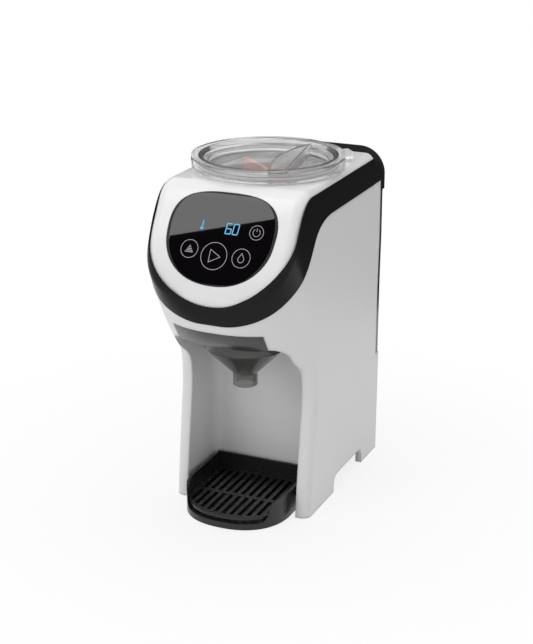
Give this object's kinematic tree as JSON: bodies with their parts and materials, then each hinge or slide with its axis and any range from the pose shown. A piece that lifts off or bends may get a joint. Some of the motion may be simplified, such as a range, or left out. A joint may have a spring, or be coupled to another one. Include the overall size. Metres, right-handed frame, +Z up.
{
  "type": "baby formula maker",
  "caption": "Counter-top machine that mixes powder and water into a bottle, with a lift-out powder container, rear water tank, funnel drawer and drip tray.",
  "frame": {"origin": "on the floor, under the middle of the whole machine", "axes": "+X to the right seen from the front, -Y to the front, +Z up"},
  "size_m": [0.136, 0.2345, 0.312],
  "materials": {
    "housing_white": "satin",
    "trim_black": "high gloss",
    "crown_white": "gloss",
    "panel_glass": "high gloss",
    "smoke_clear": "smoky clear",
    "lid_clear": "clear",
    "stirrer_coral": "satin",
    "wheel_white": "satin",
    "silicone": "soft matte",
    "foot_rubber": "matte",
    "inner_plastic": "matte",
    "dark_plastic": "matte",
    "gear_nylon": "satin",
    "bush_bronze": "machined",
    "steel": "machined",
    "motor_steel": "rolled",
    "heater_aluminium": "cast",
    "hose_silicone": "soft",
    "board_green": "laminate",
    "display_black": "matte"
  },
  "bodies": {
    "housing": {"main_housing": "housing_white", "trim_band": "trim_black", "top_fascia": "crown_white", "control_glass": "panel_glass", "base_plate": "inner_plastic", "rubber_feet": "foot_rubber", "base_screws": "steel", "display_module": "display_black", "touch_board": "board_green", "powder_deck": "inner_plastic", "powder_chute": "inner_plastic", "gearbox_plate": "inner_plastic", "drive_bushes": "bush_bronze", "drive_motor": "motor_steel", "gearbox_screws": "steel", "funnel_rails": "inner_plastic", "funnel_sensor": "board_green", "tank_dock": "dark_plastic", "dock_seal": "silicone", "water_pump": "dark_plastic", "pump_cradle": "silicone", "water_heater": "heater_aluminium", "heater_element": "steel", "heater_bracket": "steel", "temperature_sensor": "steel", "thermal_cutout": "dark_plastic", "water_nozzle": "inner_plastic", "inlet_hose": "hose_silicone", "pump_hose": "hose_silicone", "nozzle_hose": "hose_silicone", "power_inlet": "dark_plastic", "power_supply": "board_green", "main_board": "board_green", "board_standoffs": "inner_plastic"},
    "drive": {"drive_shaft": "steel", "drive_gear": "gear_nylon"},
    "pinion": {"motor_shaft": "steel", "motor_pinion": "gear_nylon"},
    "container": {"powder_container": "lid_clear", "outlet_guard": "inner_plastic"},
    "dosing": {"dosing_wheel": "wheel_white", "stirrer": "stirrer_coral"},
    "seal": {"lid_seal": "silicone"},
    "lid": {"container_lid": "lid_clear"},
    "funnel": {"funnel_drawer": "smoke_clear", "funnel_magnet": "steel"},
    "tray": {"drip_tray": "dark_plastic"},
    "grille": {"drip_grille": "dark_plastic"},
    "tank": {"water_tank": "smoke_clear", "valve_cage": "inner_plastic", "valve_spring": "steel"},
    "tank_cap": {"tank_lid": "trim_black"},
    "valve": {"tank_valve": "inner_plastic"}
  },
  "joints": [
    {"name": "funnel_slide", "type": "slide", "parent": "housing", "child": "funnel", "axis": [0, -1, 0], "range_m": [0, 0.1]},
    {"name": "tray_slide", "type": "slide", "parent": "housing", "child": "tray", "axis": [0, -1, 0], "range_m": [0, 0.09]},
    {"name": "grille_lift", "type": "slide", "parent": "tray", "child": "grille", "axis": [0, 0, 1], "range_m": [0, 0.03]},
    {"name": "container_lift", "type": "slide", "parent": "housing", "child": "container", "axis": [0, 0, 1], "range_m": [0, 0.11]},
    {"name": "seal_lift", "type": "slide", "parent": "container", "child": "seal", "axis": [0, 0, 1], "range_m": [0, 0.05]},
    {"name": "lid_twist", "type": "hinge", "parent": "seal", "child": "lid", "pos_m": [0, 0.0056, 0.308], "axis": [0, 0, 1], "range_deg": [0, 30]},
    {"name": "drive_spin", "type": "hinge", "parent": "housing", "child": "drive", "pos_m": [0, 0.0056, 0.193], "axis": [0, 0, 1], "continuous": true},
    {"name": "pinion_spin", "type": "hinge", "parent": "housing", "child": "pinion", "pos_m": [0, 0.0366, 0.193], "axis": [0, 0, 1], "continuous": true},
    {"name": "dosing_spin", "type": "hinge", "parent": "container", "child": "dosing", "pos_m": [0, 0.0056, 0.214], "axis": [0, 0, 1], "continuous": true},
    {"name": "tank_lift", "type": "slide", "parent": "housing", "child": "tank", "axis": [0, 0, 1], "range_m": [0, 0.19]},
    {"name": "tank_cap_lift", "type": "slide", "parent": "tank", "child": "tank_cap", "axis": [0, 0, 1], "range_m": [0, 0.05]},
    {"name": "valve_lift", "type": "slide", "parent": "tank", "child": "valve", "axis": [0, 0, 1], "range_m": [0, 0.0035], "stiffness_N_per_m": 120, "springref_m": -0.002, "deforming": ["valve_spring"]}
  ],
  "couplings": [
    {"joint": "pinion_spin", "follows": "drive_spin", "ratio": -2.875},
    {"joint": "dosing_spin", "follows": "drive_spin", "ratio": 1}
  ]
}
